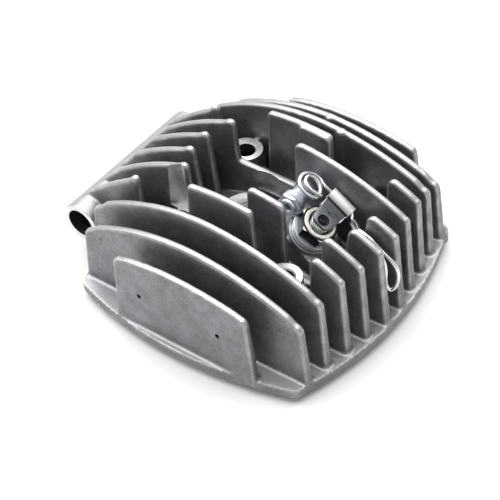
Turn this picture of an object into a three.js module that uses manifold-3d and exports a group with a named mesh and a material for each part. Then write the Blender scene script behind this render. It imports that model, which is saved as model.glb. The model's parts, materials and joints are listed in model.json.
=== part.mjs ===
import * as THREE from 'three';
import { mergeVertices } from 'three/addons/utils/BufferGeometryUtils.js';
import Module from 'manifold-3d';

const wasm = await Module();
wasm.setup();

// Driving dimensions, mm. The gasket face is z = 0 and the fins run along X. X and Y are
// measured from the cylinder axis here, and the finished group is moved by ORIGIN_X, so that
// the part's own origin is under the middle of its bounding box.
const LAND_Z = 2.0;
const FLANGE_Z = 5.5;
const ORIGIN_X = 5.25;
const FIN_PITCH = 8.8;
const FIN_T = 3.0;
const FIN_COUNT = 12;
const FIN_ROOT_Z = 3.0;
const FIN_CORNER_R = 1.3;
const STUD_X = 24.0;
const STUD_Y = 22.0;
const STUD_SEAT_Z = 26.0;
const STUD_HOLE_R = 3.5;
const STUD_RING_R = 6.1;
const SOCKET_R = 7.2;
const MILLED_SOCKET_R = 8.4;
const PLUG_X = -6.5;
const PLUG_SEAT_Z = 21.8;
const PLUG_HOLE_R = 6.4;
const PLUG_RING_R = 9.4;
const PLUG_WELL_R = 12.8;
const BORE_R = 19.5;
const TUBE_X = -56.6;
const TUBE_Z = 15.3;
const TUBE_R = 7.4;
const TUBE_BORE_R = 5.3;
const TUBE_HALF = 30.8;
const VALVE_TILT = THREE.MathUtils.degToRad(34);
const VALVE_POS = new THREE.Vector3(19.2, 0, 25.7);
const VALVE_HOLE_R = 5.3;
const LEVER_Z = 8.7;
const LEVER_T = 0.7;
const EYE_Y = 9.6;
const EYE_R = 1.85;
const EYE_Z = LEVER_Z + EYE_R;
const EYE_HALF = 4.8;
const WIRE_R = 0.62;
const BARREL_X = -11.2;
const BARREL_Z = 3.0;
const BARREL_R = 3.1;

// ---- solids ----
function toSolid(geometry) {
  const g = geometry.clone();
  g.deleteAttribute('normal');
  g.deleteAttribute('uv');
  const m = mergeVertices(g, 1e-4);
  const mesh = new wasm.Mesh({
    numProp: 3,
    vertProperties: new Float32Array(m.attributes.position.array),
    triVerts: new Uint32Array(m.index.array),
  });
  return new wasm.Manifold(mesh);
}

function toGeometry(solid) {
  const mesh = solid.getMesh();
  const g = new THREE.BufferGeometry();
  g.setAttribute('position', new THREE.BufferAttribute(new Float32Array(mesh.vertProperties), 3));
  g.setIndex(new THREE.BufferAttribute(new Uint32Array(mesh.triVerts), 1));
  return g;
}

function unionAll(solids) {
  let all = solids[0];
  for (let i = 1; i < solids.length; i += 1) {
    all = all.add(solids[i]);
  }
  return all;
}

// A solid of revolution about +Z from closed [radius, z] points.
function turned(points, segments = 32) {
  const pts = points.map((p) => new THREE.Vector2(p[0], p[1]));
  if (points[0][0] !== 0) {
    pts.push(pts[0].clone());
  }
  const g = new THREE.LatheGeometry(pts, segments);
  g.rotateX(Math.PI / 2);
  return g;
}

function rod(radius, z0, z1, segments = 32) {
  return turned([[0, z0], [radius, z0], [radius, z1], [0, z1]], segments);
}

// A flat outline in X-Z extruded along Y between y0 and y1.
function plateXZ(outline, y0, y1) {
  const shape = new THREE.Shape(outline.map((p) => new THREE.Vector2(p[0], p[1])));
  const g = new THREE.ExtrudeGeometry(shape, { depth: y1 - y0, bevelEnabled: false });
  g.rotateX(Math.PI / 2);
  g.translate(0, y1, 0);
  return g;
}

// A regular hexagon; turn is its rotation in sixths of a turn.
function hexShape(acrossFlats, turn) {
  const shape = new THREE.Shape();
  const r = acrossFlats / Math.sqrt(3);
  for (let i = 0; i < 6; i += 1) {
    const a = (i + turn) * Math.PI / 3;
    if (i === 0) {
      shape.moveTo(r * Math.cos(a), r * Math.sin(a));
    } else {
      shape.lineTo(r * Math.cos(a), r * Math.sin(a));
    }
  }
  shape.closePath();
  return shape;
}

function prism(shape, z0, z1) {
  const g = new THREE.ExtrudeGeometry(shape, { depth: z1 - z0, bevelEnabled: false, curveSegments: 10 });
  g.translate(0, 0, z0);
  return g;
}

function sweep(curve, radius, steps, sides) {
  const ring = new THREE.Shape();
  for (let i = 0; i < sides; i += 1) {
    const a = i * 2 * Math.PI / sides;
    if (i === 0) {
      ring.moveTo(radius, 0);
    } else {
      ring.lineTo(radius * Math.cos(a), radius * Math.sin(a));
    }
  }
  ring.closePath();
  return new THREE.ExtrudeGeometry(ring, { steps, bevelEnabled: false, extrudePath: curve });
}

// ---- the valve's own frame: +Z out of the head along the tilted axis ----
const valveFrame = new THREE.Matrix4().makeRotationY(VALVE_TILT).setPosition(VALVE_POS);

function inValve(geometry) {
  return geometry.applyMatrix4(valveFrame);
}

// ---- fins ----
// Heights are above the flange. left and right are the top corners, foot the right end's foot.
const FIN_ROWS = [
  { crown: 29.3, left: [-24.0, 26.0], right: [29.5, 25.6], foot: 31.8, leftFoot: -24.8 },
  { crown: 34.2, left: [-44.3, 21.4], right: [44.0, 23.2], foot: 46.3, leftFoot: -46.0 },
  { crown: 39.2, left: [-47.6, 23.4], right: [45.6, 27.6], foot: 47.4, leftFoot: -50.0 },
  { crown: 43.6, left: [-51.0, 24.0], right: [47.4, 30.4], foot: 49.4, leftFoot: -58.0 },
  { crown: 43.4, left: [-51.0, 25.0], right: [48.8, 29.9], foot: 50.9, leftFoot: -58.0 },
  { crown: 43.2, left: [-51.0, 26.0], right: [50.2, 30.2], foot: 52.6, leftFoot: -58.0 },
];

// The six middle fins are interrupted: leftEnd and rightStart are the top corners at the gap,
// and slant is how far the right stretch's inner end leans back towards its foot.
const FIN_GAPS = {
  3: { leftEnd: -33.9, rightStart: 35.0, slant: 0 },
  4: { leftEnd: -19.4, rightStart: 33.4, slant: 1.5 },
  5: { leftEnd: -24.0, rightStart: 37.4, slant: 5.5 },
  6: { leftEnd: -24.6, rightStart: 38.6, slant: 5.0 },
  7: { leftEnd: -20.3, rightStart: 4.6, slant: 0 },
  8: { leftEnd: -34.3, rightStart: 35.0, slant: 0 },
};

function topHeight(row, x) {
  const end = x < 0 ? row.left : row.right;
  const s = x / end[0];
  return row.crown - (row.crown - end[1]) * s * s;
}

// One stretch of a fin from x0 to x1 at its top, with small rounded upper corners.
function finStretch(k, x0, x1, lean0 = 0, lean1 = 0, base = FIN_ROOT_Z, cap = 99) {
  const row = FIN_ROWS[Math.min(k, FIN_COUNT - 1 - k)];
  const height = (x) => Math.min(topHeight(row, x), cap);
  const r = FIN_CORNER_R;
  const outline = [];
  outline.push([x0 - lean0, base]);
  outline.push([x0, FLANGE_Z + height(x0) - r - 0.4]);
  outline.push([x0 + r * 0.3, FLANGE_Z + height(x0) - r * 0.3]);
  const first = x0 + r + 0.4;
  const last = x1 - r - 0.4;
  const steps = Math.max(1, Math.round((last - first) / 6));
  for (let i = 0; i <= steps; i += 1) {
    const x = first + (last - first) * i / steps;
    outline.push([x, FLANGE_Z + height(x)]);
  }
  outline.push([x1 - r * 0.3, FLANGE_Z + height(x1) - r * 0.3]);
  outline.push([x1, FLANGE_Z + height(x1) - r - 0.4]);
  outline.push([x1 + lean1, base]);
  const y = (k - (FIN_COUNT - 1) / 2) * FIN_PITCH;
  return toSolid(plateXZ(outline, y - FIN_T / 2, y + FIN_T / 2));
}

// The left ends of the six middle fins run down on to the mounting tube.
function tubeLug(k, x1, lean1) {
  const row = FIN_ROWS[Math.min(k, FIN_COUNT - 1 - k)];
  const outline = [[-47, FIN_ROOT_Z], [-58, 9.6], [-63.0, 13.6], [-62.6, 18.6], [-57.0, 25.0]];
  const first = row.left[0];
  const last = x1 - 1.7;
  const steps = Math.round((last - first) / 5);
  for (let i = 0; i <= steps; i += 1) {
    const x = first + (last - first) * i / steps;
    outline.push([x, FLANGE_Z + topHeight(row, x)]);
  }
  outline.push([x1 - 0.4, FLANGE_Z + topHeight(row, x1) - 0.4]);
  outline.push([x1, FLANGE_Z + topHeight(row, x1) - 1.7]);
  outline.push([x1 + lean1, FIN_ROOT_Z]);
  const y = (k - (FIN_COUNT - 1) / 2) * FIN_PITCH;
  return toSolid(plateXZ(outline, y - FIN_T / 2, y + FIN_T / 2));
}

// ---- head casting ----
function flangeShape() {
  const corners = [[44.6, 46.0], [-44.6, 46.0], [-44.6, -46.0], [44.6, -46.0]];
  const side = 61.5;
  const end = 59.2;
  const c = 3.0;
  const shape = new THREE.Shape();
  shape.moveTo(corners[0][0] - c, corners[0][1] + 0.6);
  shape.quadraticCurveTo(0, end, corners[1][0] + c, corners[1][1] + 0.6);
  shape.quadraticCurveTo(corners[1][0] - 0.6, corners[1][1], corners[1][0] - 0.9, corners[1][1] - c);
  shape.quadraticCurveTo(-side, 0, corners[2][0] - 0.9, corners[2][1] + c);
  shape.quadraticCurveTo(corners[2][0] - 0.6, corners[2][1], corners[2][0] + c, corners[2][1] - 0.6);
  shape.quadraticCurveTo(0, -end, corners[3][0] - c, corners[3][1] - 0.6);
  shape.quadraticCurveTo(corners[3][0] + 0.6, corners[3][1], corners[3][0] + 0.9, corners[3][1] + c);
  shape.quadraticCurveTo(side, 0, corners[0][0] + 0.9, corners[0][1] - c);
  shape.quadraticCurveTo(corners[0][0] + 0.6, corners[0][1], corners[0][0] - c, corners[0][1] + 0.6);
  return shape;
}

function landShape() {
  const h = 33.0;
  const c = 11.0;
  const shape = new THREE.Shape();
  shape.moveTo(h - c, h);
  shape.lineTo(-h + c, h);
  shape.quadraticCurveTo(-h, h, -h, h - c);
  shape.lineTo(-h, -h + c);
  shape.quadraticCurveTo(-h, -h, -h + c, -h);
  shape.lineTo(h - c, -h);
  shape.quadraticCurveTo(h, -h, h, -h + c);
  shape.lineTo(h, h - c);
  shape.quadraticCurveTo(h, h, h - c, h);
  return shape;
}

function castShape() {
  const solids = [];
  solids.push(toSolid(prism(flangeShape(), LAND_Z, FLANGE_Z)));
  solids.push(toSolid(prism(landShape(), 0, LAND_Z + 1)));
  const dome = turned([[0, 3], [41, 3], [40, 6.5], [33, 10], [26, 15], [17, 18.6], [0, 18.6]], 40);
  solids.push(toSolid(dome));
  const last = FIN_COUNT - 1;
  for (const k of [0, 1, 2, last - 2, last - 1, last]) {
    const row = FIN_ROWS[Math.min(k, last - k)];
    const lean0 = row.left[0] - row.leftFoot;
    solids.push(finStretch(k, row.left[0], row.right[0], lean0, row.foot - row.right[0]));
  }
  for (const k of [3, 4, 5, 6, 7, 8]) {
    const row = FIN_ROWS[Math.min(k, last - k)];
    const outer = k === 3 || k === 8;
    const gap = FIN_GAPS[k];
    solids.push(tubeLug(k, gap.leftEnd, outer ? 0.6 : 1.8));
    solids.push(finStretch(k, gap.rightStart, row.right[0], gap.slant, row.foot - row.right[0]));
    if (outer) {
      solids.push(finStretch(k, -12.6, 13.1, 1.2, 1.4));
      solids.push(finStretch(k, -37, 38, 2, 2, FIN_ROOT_Z, 15.0));
    }
  }
  solids.push(finStretch(8, 1.0, 13.1, 0, 1.4).translate([0, -0.9, 0.3]));
  solids.push(finStretch(4, 4.8, 19.0, 0.4, 0));
  solids.push(finStretch(4, -24, 36, 2, 2, FIN_ROOT_Z, 13.0));
  solids.push(finStretch(5, -26, 40, 2, 2, FIN_ROOT_Z, 12.0));
  solids.push(finStretch(6, -26, 41, 2, 2, FIN_ROOT_Z, 12.0));
  solids.push(finStretch(7, -22, 8, 2, 0, FIN_ROOT_Z, 24.2));
  for (const sx of [-1, 1]) {
    for (const sy of [-1, 1]) {
      const boss = turned([[0, 3], [8.2, 3], [STUD_RING_R, STUD_SEAT_Z], [0, STUD_SEAT_Z]], 32);
      boss.translate(sx * STUD_X, sy * STUD_Y, 0);
      solids.push(toSolid(boss));
    }
  }
  for (const [k, x] of [[9, 11.0], [10, 0.5]]) {
    const row = FIN_ROWS[FIN_COUNT - 1 - k];
    const bump = rod(1.9, 28, FLANGE_Z + topHeight(row, x) + 0.4, 20);
    bump.translate(x, (k - (FIN_COUNT - 1) / 2) * FIN_PITCH - 0.4, 0);
    solids.push(toSolid(bump));
  }
  const nub = rod(1.6, FLANGE_Z - 2.5, FLANGE_Z + 4.0, 20);
  nub.translate(45.6, 40.8, 0);
  solids.push(toSolid(nub));
  const plugBoss = turned([[0, 3], [12.4, 3], [PLUG_RING_R + 0.6, PLUG_SEAT_Z], [0, PLUG_SEAT_Z]], 40);
  plugBoss.translate(PLUG_X, 0, 0);
  solids.push(toSolid(plugBoss));
  solids.push(toSolid(inValve(rod(8.0, -15, 0, 36))));
  const valveBlock = toSolid(plateXZ([[14.6, 3], [27, 3], [25.6, 20], [14.6, 28.4]], -8.5, 8.5));
  solids.push(valveBlock.subtract(toSolid(inValve(rod(30, 0, 40, 12)))));
  const tube = rod(TUBE_R, -TUBE_HALF, TUBE_HALF, 36);
  tube.rotateX(Math.PI / 2);
  tube.translate(TUBE_X, 0, TUBE_Z);
  solids.push(toSolid(tube));
  return unionAll(solids);
}

function machining() {
  const cuts = [];
  for (const sx of [-1, 1]) {
    for (const sy of [-1, 1]) {
      const hole = rod(STUD_HOLE_R, -1, 60, 24);
      hole.translate(sx * STUD_X, sy * STUD_Y, 0);
      cuts.push(toSolid(hole));
      const socketR = sx < 0 && sy < 0 ? MILLED_SOCKET_R : SOCKET_R;
      const socket = rod(socketR, STUD_SEAT_Z, 60, 36);
      socket.translate(sx * STUD_X, sy * STUD_Y, 0);
      cuts.push(toSolid(socket));
    }
  }
  const plugHole = rod(PLUG_HOLE_R, -1, 40, 36);
  plugHole.translate(PLUG_X, 0, 0);
  cuts.push(toSolid(plugHole));
  const plugWell = rod(PLUG_WELL_R, PLUG_SEAT_Z, 60, 40);
  plugWell.translate(PLUG_X, 0, 0);
  cuts.push(toSolid(plugWell));
  const tubeBore = rod(TUBE_BORE_R, -40, 40, 32);
  tubeBore.rotateX(Math.PI / 2);
  tubeBore.translate(TUBE_X, 0, TUBE_Z);
  cuts.push(toSolid(tubeBore));
  const chamber = [[0, -1], [BORE_R, -1], [BORE_R, 0.8], [14.5, 1.4], [12.6, 5.2], [7, 8.4], [0, 9.2]];
  cuts.push(toSolid(turned(chamber, 48)));
  cuts.push(toSolid(inValve(rod(VALVE_HOLE_R, -16.2, 30, 32))));
  cuts.push(toSolid(inValve(rod(4.7, -26, -15.5, 28))));
  for (const x of [-13.9, 18.0]) {
    const mark = rod(0.9, 0, 2.2, 12);
    mark.rotateX(-Math.PI / 2);
    mark.translate(x, -5.5 * FIN_PITCH - FIN_T / 2 - 1.2, FLANGE_Z + 14);
    cuts.push(toSolid(mark));
  }
  return cuts;
}

function headCasting() {
  let body = castShape();
  for (const cut of machining()) {
    body = body.subtract(cut);
  }
  return toGeometry(body);
}

// ---- decompression valve ----
function valveBody() {
  const hex = toSolid(prism(hexShape(12.0, 0.15), 3.1, 7.2));
  const crown = toSolid(rod(5.7, 7.0, 7.6, 40));
  const shank = toSolid(rod(5.0, -15.0, 3.5, 36));
  const spot = toSolid(rod(3.9, -2.0, 20, 32));
  const dish = toSolid(rod(4.4, 6.6, 20, 32));
  const bore = toSolid(rod(2.1, -20, 20, 24));
  const solid = unionAll([hex, crown, shank]);
  return inValve(toGeometry(solid.subtract(spot).subtract(dish).subtract(bore)));
}

function sealingWasher() {
  return inValve(turned([[5.35, 0.3], [7.2, 0.3], [7.2, 1.3], [5.35, 1.3]], 40));
}

function cableBracket() {
  const ring = toSolid(rod(7.5, 1.6, 2.8, 40));
  const armShape = new THREE.Shape();
  armShape.moveTo(0, -5.2);
  armShape.lineTo(0, 5.6);
  armShape.lineTo(BARREL_X + 2, 5.2);
  armShape.lineTo(BARREL_X - 1.6, 3.4);
  armShape.lineTo(BARREL_X - 1.6, 0.3);
  armShape.lineTo(BARREL_X + 5.6, 0.3);
  armShape.closePath();
  const arm = toSolid(prism(armShape, 1.6, 2.8));
  const collar = rod(4.1, 0.2, 2.4, 32);
  collar.rotateX(-Math.PI / 2);
  collar.translate(BARREL_X, 0, BARREL_Z);
  const bore = rod(BARREL_R + 0.3, -2, 9, 32);
  bore.rotateX(-Math.PI / 2);
  bore.translate(BARREL_X, 0, BARREL_Z);
  const nutRoom = rod(4.7, -1.9, 0.1, 32);
  nutRoom.rotateX(-Math.PI / 2);
  nutRoom.translate(BARREL_X, 0, BARREL_Z);
  const shankHole = toSolid(rod(5.35, 0, 5, 36));
  const solid = unionAll([ring, arm, toSolid(collar)]).subtract(shankHole);
  return inValve(toGeometry(solid.subtract(toSolid(bore)).subtract(toSolid(nutRoom))));
}

function adjusterBarrel() {
  const g = turned([[1.4, -2.2], [BARREL_R, -2.2], [BARREL_R, 9.4], [2.7, 9.9], [1.4, 9.9]], 32);
  g.rotateX(-Math.PI / 2);
  g.translate(BARREL_X, 0, BARREL_Z);
  return inValve(g);
}

function adjusterLocknut() {
  const nut = toSolid(prism(hexShape(7.6, 0.5), -1.6, -0.2));
  const bore = toSolid(rod(BARREL_R + 0.3, -4, 4, 32));
  const g = toGeometry(nut.subtract(bore));
  g.rotateX(-Math.PI / 2);
  g.translate(BARREL_X, 0, BARREL_Z);
  return inValve(g);
}

class Helix extends THREE.Curve {
  constructor(radius, z0, z1, turns) {
    super();
    this.radius = radius;
    this.z0 = z0;
    this.z1 = z1;
    this.turns = turns;
  }

  getPoint(t, target = new THREE.Vector3()) {
    const a = t * this.turns * 2 * Math.PI;
    const z = this.z0 + (this.z1 - this.z0) * t;
    return target.set(this.radius * Math.cos(a), this.radius * Math.sin(a), z);
  }
}

function returnSpring() {
  return inValve(sweep(new Helix(2.95, -1.3, 7.3, 7), 0.4, 140, 8));
}

function springRetainer() {
  return inValve(turned([[1.3, 7.8], [3.6, 7.8], [3.6, 8.6], [1.3, 8.6]], 32));
}

function valveStem() {
  const points = [[0, -18.2], [4.0, -18.2], [4.0, -17.3], [2.6, -15.6], [1.9, -15.3], [1.9, 7.7]];
  points.push([1.2, 7.7], [1.2, 9.3], [0.8, 9.5], [0, 9.5]);
  return inValve(turned(points, 32));
}

function stemNut() {
  return inValve(turned([[1.3, 8.65], [2.0, 8.65], [2.0, 9.1], [1.8, 9.3], [1.3, 9.3]], 32));
}

function leverPlate() {
  const outline = [[-2.2, -2.3], [2.2, -2.3], [3.7, -0.8], [4.4, 7.5], [EYE_HALF, EYE_Y - EYE_R]];
  outline.push([EYE_HALF, EYE_Y], [-EYE_HALF, EYE_Y], [-EYE_HALF, EYE_Y - EYE_R], [-4.4, 7.5], [-3.7, -0.8]);
  const shape = new THREE.Shape(outline.map((p) => new THREE.Vector2(p[0], p[1])));
  const plate = toSolid(prism(shape, LEVER_Z, LEVER_Z + LEVER_T));
  const tube = rod(EYE_R, -EYE_HALF, EYE_HALF, 28);
  tube.rotateY(Math.PI / 2);
  tube.translate(0, EYE_Y, EYE_Z);
  const through = rod(WIRE_R + 0.28, -9, 9, 20);
  through.rotateY(Math.PI / 2);
  through.translate(0, EYE_Y, EYE_Z);
  const dimple = rod(0.8, LEVER_Z + 0.3, 20, 16);
  dimple.translate(-0.2, 3.3, 0);
  let solid = unionAll([plate, toSolid(tube)]);
  solid = solid.subtract(toSolid(through)).subtract(toSolid(rod(2.1, 0, 20, 28)));
  return inValve(toGeometry(solid.subtract(toSolid(dimple))));
}

// The pull wire's finger loop of nearly two turns and its run through the eye, in the valve's frame.
const LOOP_POINTS = [
  [-6.35, 4.3, 12.0], [-8.9, 3.4, 11.9], [-11.3, 3.3, 11.8], [-13.1, 4.3, 11.6], [-13.7, 6.2, 11.4],
  [-12.9, 7.9, 11.2], [-11.6, 8.4, 11.1], [-10.1, 8.2, 11.0], [-8.3, 7.3, 10.8], [-6.9, 5.4, 10.6],
  [-7.3, 3.0, 10.5], [-9.8, 2.0, 10.4], [-12.3, 1.9, 10.4], [-14.4, 3.2, 10.4], [-15.3, 5.5, 10.4],
  [-14.7, 8.0, 10.4], [-12.7, 9.8, 10.4], [-10.4, 10.1, 10.4], [-7.8, 9.4, 10.5], [-6.2, 9.5, 10.55],
  [-4.6, EYE_Y, EYE_Z], [0, EYE_Y, EYE_Z], [4.6, EYE_Y, EYE_Z],
];

// Its two strands down to the hairpin bend between the fins, from the cylinder axis.
const STRAND_POINTS = [
  [30.4, 8.0, 30.8], [32.6, 6.6, 31.4], [34.9, 4.2, 32.7], [36.5, 2.5, 33.6], [38.4, 1.7, 33.9],
  [41.9, 1.1, 33.4], [45.5, 1.0, 30.9], [48.7, 0.9, 28.9], [50.9, 0.9, 27.2], [52.3, 0.9, 24.8],
  [52.5, 0.9, 21.3], [51.6, 0.6, 17.4], [50.3, 0.0, 15.9], [49.3, -0.7, 17.6], [49.0, -1.0, 20.8],
  [49.0, -1.0, 25.0], [48.2, -1.0, 28.6], [46.1, -0.9, 31.4], [42.1, -0.5, 33.9], [38.9, 0.1, 35.2],
  [36.2, 1.0, 34.6], [33.6, 3.4, 33.0], [31.2, 5.8, 31.0],
];

function pullWire() {
  const points = LOOP_POINTS.map((p) => new THREE.Vector3(...p).applyMatrix4(valveFrame));
  points.push(...STRAND_POINTS.map((p) => new THREE.Vector3(...p)));
  return sweep(new THREE.CatmullRomCurve3(points, false, 'centripetal'), WIRE_R, 260, 8);
}

// ---- assembly ----
const group = new THREE.Group();
group.name = 'cylinder_head';
const pieces = new THREE.Group();
pieces.position.x = ORIGIN_X;
group.add(pieces);

function addPiece(name, geometry, color, metalness, roughness) {
  const material = new THREE.MeshStandardMaterial({ color, metalness, roughness });
  material.name = `${name}_material`;
  const mesh = new THREE.Mesh(geometry, material);
  mesh.name = name;
  pieces.add(mesh);
}

addPiece('head_casting', headCasting(), 0x9c9da0, 0.85, 0.6);
addPiece('sealing_washer', sealingWasher(), 0xb4b8bc, 0.9, 0.35);
addPiece('cable_bracket', cableBracket(), 0xb9c3cc, 0.95, 0.3);
addPiece('adjuster_barrel', adjusterBarrel(), 0xc3ccd4, 0.95, 0.25);
addPiece('adjuster_locknut', adjusterLocknut(), 0xb9c3cc, 0.95, 0.3);
addPiece('valve_body', valveBody(), 0xd2c8a2, 0.9, 0.35);
addPiece('return_spring', returnSpring(), 0xa9abad, 0.95, 0.3);
addPiece('spring_retainer', springRetainer(), 0x8d8f92, 0.9, 0.4);
addPiece('valve_stem', valveStem(), 0x55565a, 0.9, 0.4);
addPiece('stem_nut', stemNut(), 0x3c3d40, 0.8, 0.45);
addPiece('lever_plate', leverPlate(), 0x7b7e82, 0.9, 0.45);
addPiece('pull_wire', pullWire(), 0xc9cccf, 0.95, 0.25);

export default group;
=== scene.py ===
"""Looks of an air-cooled cylinder head: one finned aluminium casting with machined seats, and a
decompression valve with its cable bracket, lever plate and pull wire.

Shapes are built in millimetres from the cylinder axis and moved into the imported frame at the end.
"""

import json
import math

import bmesh
import bpy
import numpy as np
from mathutils import Matrix, Vector


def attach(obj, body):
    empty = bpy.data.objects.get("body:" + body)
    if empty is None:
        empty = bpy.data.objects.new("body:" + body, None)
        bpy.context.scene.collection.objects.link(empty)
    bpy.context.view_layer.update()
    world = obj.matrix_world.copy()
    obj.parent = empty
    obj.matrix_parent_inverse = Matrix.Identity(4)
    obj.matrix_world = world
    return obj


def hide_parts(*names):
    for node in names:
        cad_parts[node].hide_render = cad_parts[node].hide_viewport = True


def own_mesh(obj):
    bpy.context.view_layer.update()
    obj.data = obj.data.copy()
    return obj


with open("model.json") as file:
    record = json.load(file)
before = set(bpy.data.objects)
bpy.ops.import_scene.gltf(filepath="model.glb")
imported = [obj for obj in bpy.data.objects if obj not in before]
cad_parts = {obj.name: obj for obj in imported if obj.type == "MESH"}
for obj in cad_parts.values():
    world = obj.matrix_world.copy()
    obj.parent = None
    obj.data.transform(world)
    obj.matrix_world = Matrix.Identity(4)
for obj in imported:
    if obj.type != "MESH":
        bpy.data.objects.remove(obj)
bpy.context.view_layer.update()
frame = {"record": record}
MOUNTS = {m["name"]: m for m in frame["record"]["mounts"]}

MM = 0.001
AXIS_X = MOUNTS["gasket_face"]["pos_m"][0] / MM

# ---- driving dimensions, mm, as in the part ----
LAND_Z = 2.0
FLANGE_Z = 5.5
FIN_PITCH = 8.8
FIN_COUNT = 12
FIN_ROOT_Z = 3.0
FIN_ROOT_T = 3.5
FIN_TIP_T = 2.5
FIN_TALL = 38.0
STUD_X, STUD_Y, STUD_SEAT_Z = 24.0, 22.0, 26.0
STUD_HOLE_R, STUD_RING_R, SOCKET_R, MILLED_SOCKET_R = 3.5, 6.1, 7.2, 8.4
PLUG_X, PLUG_SEAT_Z, PLUG_HOLE_R = -6.5, 21.8, 6.4
PLUG_RING_R, PLUG_WELL_R = 9.4, 12.8
BORE_R = 19.5
TUBE_X, TUBE_Z, TUBE_R, TUBE_BORE_R, TUBE_HALF = -56.6, 15.3, 7.4, 5.3, 30.8
VALVE_TILT = math.radians(34)
VALVE_POS = Vector((19.2, 0.0, 25.7))
VALVE_HOLE_R = 5.3
LEVER_Z, LEVER_T = 8.7, 0.7
EYE_Y, EYE_Z, EYE_R, EYE_HALF = 9.6, 10.55, 1.85, 4.8
WIRE_R = 0.62
BARREL_X, BARREL_Z, BARREL_R = -11.2, 3.0, 3.1

VALVE_FRAME = Matrix.Translation(VALVE_POS) @ Matrix.Rotation(VALVE_TILT, 4, "Y")
TO_ROW = Matrix.Scale(MM, 4) @ Matrix.Translation((AXIS_X, 0, 0))

# Heights above the flange; left and right are the top corners.
FIN_ROWS = [
    dict(crown=29.3, left=(-24.0, 26.0), right=(29.5, 25.6), foot=31.8, left_foot=-24.8),
    dict(crown=34.2, left=(-44.3, 21.4), right=(44.0, 23.2), foot=46.3, left_foot=-46.0),
    dict(crown=39.2, left=(-47.6, 23.4), right=(45.6, 27.6), foot=47.4, left_foot=-50.0),
    dict(crown=43.6, left=(-51.0, 24.0), right=(47.4, 30.4), foot=49.4, left_foot=-58.0),
    dict(crown=43.4, left=(-51.0, 25.0), right=(48.8, 29.9), foot=50.9, left_foot=-58.0),
    dict(crown=43.2, left=(-51.0, 26.0), right=(50.2, 30.2), foot=52.6, left_foot=-58.0),
]
# The six middle fins are interrupted: top corners at the gap, and the slant of the right inner end.
FIN_GAPS = {
    3: dict(left_end=-33.9, lean=0.6, right_start=35.0, slant=0.4),
    4: dict(left_end=-19.4, lean=1.2, right_start=33.4, slant=1.5),
    5: dict(left_end=-24.0, lean=4.2, right_start=37.4, slant=5.5),
    6: dict(left_end=-24.6, lean=3.6, right_start=38.6, slant=5.0),
    7: dict(left_end=-20.3, lean=2.6, right_start=4.6, slant=0.3),
    8: dict(left_end=-34.3, lean=0.6, right_start=35.0, slant=0.3),
}


# ---------------------------------------------------------------- mesh helpers
def new_object(name, mesh):
    obj = bpy.data.objects.new(name, mesh)
    bpy.context.scene.collection.objects.link(obj)
    return obj


def mesh_from(name, verts, faces):
    mesh = bpy.data.meshes.new(name)
    mesh.from_pydata([tuple(v) for v in verts], [], faces)
    mesh.validate()
    return mesh


def fix_normals(mesh):
    bm = bmesh.new()
    bm.from_mesh(mesh)
    bmesh.ops.recalc_face_normals(bm, faces=bm.faces)
    bm.to_mesh(mesh)
    bm.free()
    return mesh


def slab(name, outline, y_front, y_back):
    """A closed plate from an X-Z outline; y_front and y_back give Y for each height."""
    n = len(outline)
    verts = [(x, y_front(z), z) for x, z in outline] + [(x, y_back(z), z) for x, z in outline]
    faces = [list(range(n)), list(range(2 * n - 1, n - 1, -1))]
    faces += [[i, i + n, (i + 1) % n + n, (i + 1) % n] for i in range(n)]
    return fix_normals(mesh_from(name, verts, faces))


def prism(name, outline, z0, z1):
    n = len(outline)
    verts = [(x, y, z0) for x, y in outline] + [(x, y, z1) for x, y in outline]
    faces = [list(range(n)), list(range(2 * n - 1, n - 1, -1))]
    faces += [[i, i + n, (i + 1) % n + n, (i + 1) % n] for i in range(n)]
    return fix_normals(mesh_from(name, verts, faces))


def lathe(name, profile, segments=64):
    """A solid of revolution about +Z. A profile that doesn't touch the axis closes on itself."""
    verts, rings = [], []
    for r, z in profile:
        if r <= 1e-6:
            rings.append([len(verts)])
            verts.append((0, 0, z))
        else:
            rings.append(list(range(len(verts), len(verts) + segments)))
            verts += [(r * math.cos(2 * math.pi * i / segments), r * math.sin(2 * math.pi * i / segments), z)
                      for i in range(segments)]
    closed = profile[0][0] > 1e-6
    faces = []
    pairs = list(zip(rings, rings[1:])) + ([(rings[-1], rings[0])] if closed else [])
    for a, b in pairs:
        for i in range(segments):
            j = (i + 1) % segments
            if len(a) == 1 and len(b) == 1:
                continue
            if len(a) == 1:
                faces.append([a[0], b[j], b[i]])
            elif len(b) == 1:
                faces.append([a[i], a[j], b[0]])
            else:
                faces.append([a[i], a[j], b[j], b[i]])
    return fix_normals(mesh_from(name, verts, faces))


def rod(name, radius, z0, z1, segments=48):
    return lathe(name, [(0, z0), (radius, z0), (radius, z1), (0, z1)], segments)


def catmull(points, per_span=10):
    """Centripetal-looking smooth curve through points."""
    pts = [Vector(p) for p in points]
    pts = [2 * pts[0] - pts[1]] + pts + [2 * pts[-1] - pts[-2]]
    out = []
    for i in range(1, len(pts) - 2):
        p0, p1, p2, p3 = pts[i - 1:i + 3]
        t0 = 0.0
        t1 = t0 + math.sqrt((p1 - p0).length)
        t2 = t1 + math.sqrt((p2 - p1).length)
        t3 = t2 + math.sqrt((p3 - p2).length)
        for s in range(per_span):
            t = t1 + (t2 - t1) * s / per_span
            a1 = (t1 - t) / (t1 - t0) * p0 + (t - t0) / (t1 - t0) * p1
            a2 = (t2 - t) / (t2 - t1) * p1 + (t - t1) / (t2 - t1) * p2
            a3 = (t3 - t) / (t3 - t2) * p2 + (t - t2) / (t3 - t2) * p3
            b1 = (t2 - t) / (t2 - t0) * a1 + (t - t0) / (t2 - t0) * a2
            b2 = (t3 - t) / (t3 - t1) * a2 + (t - t1) / (t3 - t1) * a3
            out.append((t2 - t) / (t2 - t1) * b1 + (t - t1) / (t2 - t1) * b2)
    out.append(pts[-2])
    return out


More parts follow.
